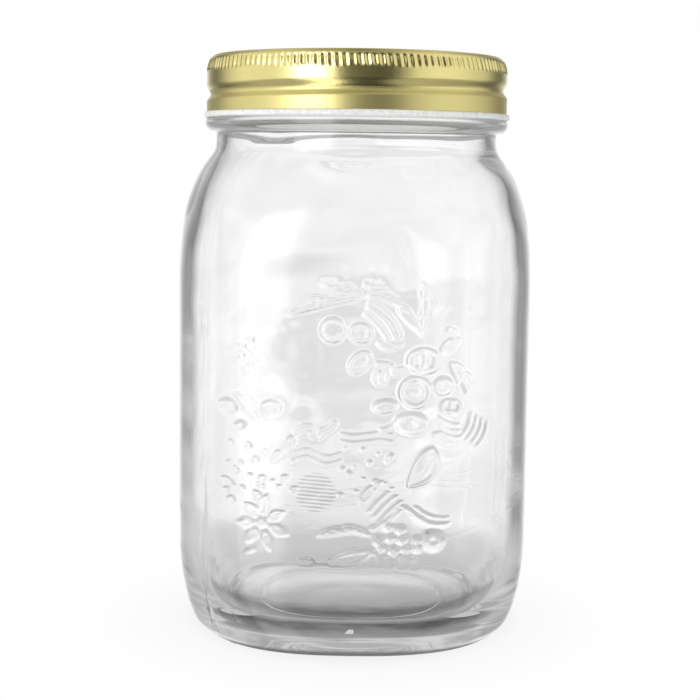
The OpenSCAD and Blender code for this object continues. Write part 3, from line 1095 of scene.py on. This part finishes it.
def build_light():
    """Studio that turns with the camera: a white screen beyond the jar, lamps behind the lens.

    Light through the glass is held between a least and a greatest level. Every edge is given
    in degrees, with its width.
    """
    world = bpy.data.worlds.new("studio")
    bpy.context.scene.world = world
    s = Nodes(world)
    azimuth, rise = studio_direction(s)
    fall = s.times(rise, -1.0)
    path = s.add("ShaderNodeLightPath")
    through = path.outputs["Is Transmission Ray"]

    def step(value, edge, width):
        """0 before an edge and 1 past it, or the reverse where the width is negative."""
        return s.mapped(value, edge - width / 2, edge + width / 2, 0.0, 1.0)

    def blend(a, b, t):
        keep = s.times(a, s.math("SUBTRACT", 1.0, t))
        return s.math("ADD", keep, s.times(b, t))

    # lamps and screen round the jar
    turn = s.math("DIVIDE", s.math("ADD", azimuth, 180.0), 360.0)
    stops = [((place + 180) / 360, level / RAMP_TOP) for place, level in LAMPS]
    round_light = s.times(s.grey_ramp(turn, stops), RAMP_TOP)
    screen = step(s.math("ABSOLUTE", azimuth), 157, 10)
    beside_screen = s.math("SUBTRACT", 1.0, screen)
    low_dimming, screen_top_dimming = 0.5, 0.45
    low = s.times(step(fall, 21, 18), beside_screen)
    side = s.times(round_light, blend(1.0, low_dimming, low))
    screen_top = s.times(screen, step(rise, 13, 12))
    side = s.times(side, blend(1.0, screen_top_dimming, screen_top))

    # ceiling, darker straight up and through the glass
    ceiling, lamp_share, zenith_dimming, glass_dimming = 0.35, 0.5, 0.5, 0.45
    overhead = s.times(s.math("MINIMUM", round_light, 1.0), lamp_share)
    overhead = s.math("ADD", ceiling, overhead)
    overhead = s.times(overhead, blend(1.0, zenith_dimming, step(rise, 66, 24)))
    overhead = s.times(overhead, blend(1.0, glass_dimming, through))
    total = blend(side, overhead, step(rise, 31, 18))

    # uneven tone, with a smudge low down beyond the jar
    darkest, spread, smudge_level = 0.79, 0.36, 0.87
    cloud = s.noise(s.stretched((10, 22, 10), "Camera"), 4)
    mottle = s.math("ADD", darkest, s.times(cloud, spread))
    inward = step(s.math("SUBTRACT", 180.0, s.math("ABSOLUTE", azimuth)), 8, -9)
    level = s.times(step(rise, -9.8, 2), step(rise, -4.6, -2))
    smudge = s.times(inward, level)
    total = s.times(total, s.times(mottle, blend(1.0, smudge_level, smudge)))

    # least and greatest levels
    least_low, least_middle, least_high = 0.74, 0.34, 0.12
    above_edge = s.math("ADD", rise, blend(8.5, 13.5, step(azimuth, 0, 40)))
    least = blend(least_low, least_middle, step(above_edge, 0, 11))
    least = blend(least, least_high, step(rise, 6, 14))
    total = s.math("MAXIMUM", total, s.times(through, least))
    most_below, most_mirrored = 0.8, 2.4
    below = s.times(through, step(fall, 18, 6))
    total = blend(total, s.math("MINIMUM", total, most_below), below)
    total = blend(total, s.math("MINIMUM", total, most_mirrored), path.outputs["Is Singular Ray"])
    bounced_level, bounced_share = 0.62, 0.75
    bounced = s.math("GREATER_THAN", path.outputs["Glossy Depth"], 1.5)
    bounced = s.times(through, bounced)
    total = blend(total, bounced_level, s.times(bounced, bounced_share))

    # plain white page
    total = blend(total, 1.0, path.outputs["Is Camera Ray"])
    sky = s.add("ShaderNodeBackground", Strength=total, Color=grey(1))
    s.finish(sky.outputs[0], "World")


# Tones by distance from the axis, as a share of FLOOR_REACH: of light that passes the floor, a
# painted shadow where the jar stands, and of the floor, a faint painted contact shadow.
FLOOR_REACH = 400
PASSING_SHADOW_TONES = [(0.0, 0.7), (0.1, 0.72), (0.17, 0.8), (0.33, 0.92), (1.0, 1)]
GROUND_SHADOW_TONES = [(0.09, 0.8), (0.13, 0.95), (0.2, 1)]

# Tones of the painted shade bands that show through the base in place of its reflections, across
# the span below from the camera's side on.
BASE_SHADE_SPAN = 100
BASE_SHADE_TONES = [
    (0.0, 0.6),
    (0.05, 0.3),
    (0.095, 0.13),
    (0.15, 0.4),
    (0.22, 0.58),
    (0.27, 0.38),
    (0.345, 0.17),
    (0.44, 0.72),
    (0.6, 0.9),
    (0.85, 1),
]


def build_floor():
    """Pale floor. Light passes it, dimmed by a painted shadow where the jar stands, so the studio
    fills the glass.

    Under the jar the painted shade runs in dark and pale bands across the view, standing in for
    the reflections in a thick glass base.
    """
    s = Nodes(bpy.data.materials.new("pale_floor"))
    path = s.add("ShaderNodeLightPath")
    coordinates = s.add("ShaderNodeTexCoord").outputs["Object"]
    geometry = s.add("ShaderNodeNewGeometry")
    incoming = geometry.outputs["Incoming"]
    reach = s.reach(s.parts(coordinates))
    far = s.times(reach, 1 / (FLOOR_REACH * MM))

    def seen(vector):
        """Parts of a vector along the camera's axes: X to the right, Z away from it."""
        settings = {"vector_type": "VECTOR", "convert_from": "WORLD", "convert_to": "CAMERA"}
        return s.parts(s.add("ShaderNodeVectorTransform", settings, Vector=vector).outputs[0])

    # painted shade in bands across the view, bent and wavy
    bend_rate, wave_height = 7.0, 0.011
    place = seen(coordinates)
    aside, behind = place.outputs["X"], place.outputs["Z"]
    wave = s.noise(s.stretched((110, 190, 90)), 3.0)
    bend = s.times(s.times(aside, aside), bend_rate)
    depth = s.math("ADD", s.math("SUBTRACT", behind, bend), s.times(wave, wave_height))
    # painted shade in bands, standing in for the base's reflections
    painted_base_bands = s.grey_ramp(s.math("ADD", s.times(depth, 1 / (BASE_SHADE_SPAN * MM)), 0.5), BASE_SHADE_TONES)

    # where they show: under the jar's nearer half, and under its far half on shallow rays
    band_reach, near_half, far_half = 52, -6, 12
    shallow_slope, steep_slope, faint = 0.38, 0.6, 0.25
    beneath = s.math("LESS_THAN", reach, band_reach * MM)
    slope = s.parts(incoming).outputs["Z"]
    shallow = s.mapped(slope, shallow_slope, steep_slope, 1.0, faint)
    forward = s.mapped(behind, near_half * MM, far_half * MM, 1.0, 0.0)
    beneath = s.times(beneath, s.math("MAXIMUM", forward, shallow))
    straight = s.math("LESS_THAN", path.outputs["Glossy Depth"], 1.5)
    # painted shadow: light that passes the floor is dimmed near the jar
    under = s.grey_ramp(far, PASSING_SHADOW_TONES)
    dimmed = s.either(s.times(beneath, straight), under, painted_base_bands, "MULTIPLY")
    onward = s.math("LESS_THAN", seen(incoming).outputs["Z"], 0.0)
    shade = s.times(onward, path.outputs["Is Transmission Ray"])
    passing = s.add("ShaderNodeBsdfTransparent", Color=s.either(shade, grey(1), dimmed))

    # the floor itself, seen straight on and from above only; it glows, with a faint painted
    # contact shadow near the jar
    # the glow's grey near the jar is a painted contact shadow
    glow = s.add("ShaderNodeEmission", Color=s.grey_ramp(far, GROUND_SHADOW_TONES))
    hidden = s.add("ShaderNodeBsdfTransparent")
    front = s.mixed(geometry.outputs["Backfacing"], glow.outputs[0], hidden.outputs[0])
    direct = s.math("MAXIMUM", path.outputs["Is Camera Ray"], path.outputs["Is Diffuse Ray"])
    material = s.finish(s.mixed(direct, passing.outputs[0], front))

    far_edge = 30000
    sides = [(-1, -1), (1, -1), (1, 1), (-1, 1)]
    corners = [[x * far_edge, y * far_edge, 0] for x, y in sides]
    floor = mesh_object("floor", corners, [(0, 1, 2, 3)], [material])


def build_camera():
    """Camera in front of the decorated side, looking a little down."""
    distance, eye, aside = 460, 136.7, -1.15
    pitch, roll = 6.95, 0.69
    lens, sensor = 79.8, 36
    data = bpy.data.cameras.new("camera")
    data.lens, data.sensor_width = lens, sensor
    data.clip_start, data.clip_end = 0.01, 20
    camera = bpy.data.objects.new("camera", data)
    bpy.context.collection.objects.link(camera)
    look = Euler((math.radians(90 - pitch), 0, 0)).to_matrix().to_4x4()
    tilt = Matrix.Rotation(math.radians(roll), 4, "Z")
    place = Matrix.Translation((aside * MM, -distance * MM, eye * MM))
    camera.matrix_world = place @ look @ tilt
    bpy.context.scene.camera = camera


build_jar()
build_band()
build_disc()
build_seal()
build_floor()
build_light()
build_camera()
scene = bpy.context.scene
scene.view_settings.view_transform = "Standard"
scene.cycles.max_bounces = 32
scene.cycles.glossy_bounces = 24
scene.cycles.transmission_bounces = 32
scene.cycles.transparent_max_bounces = 24
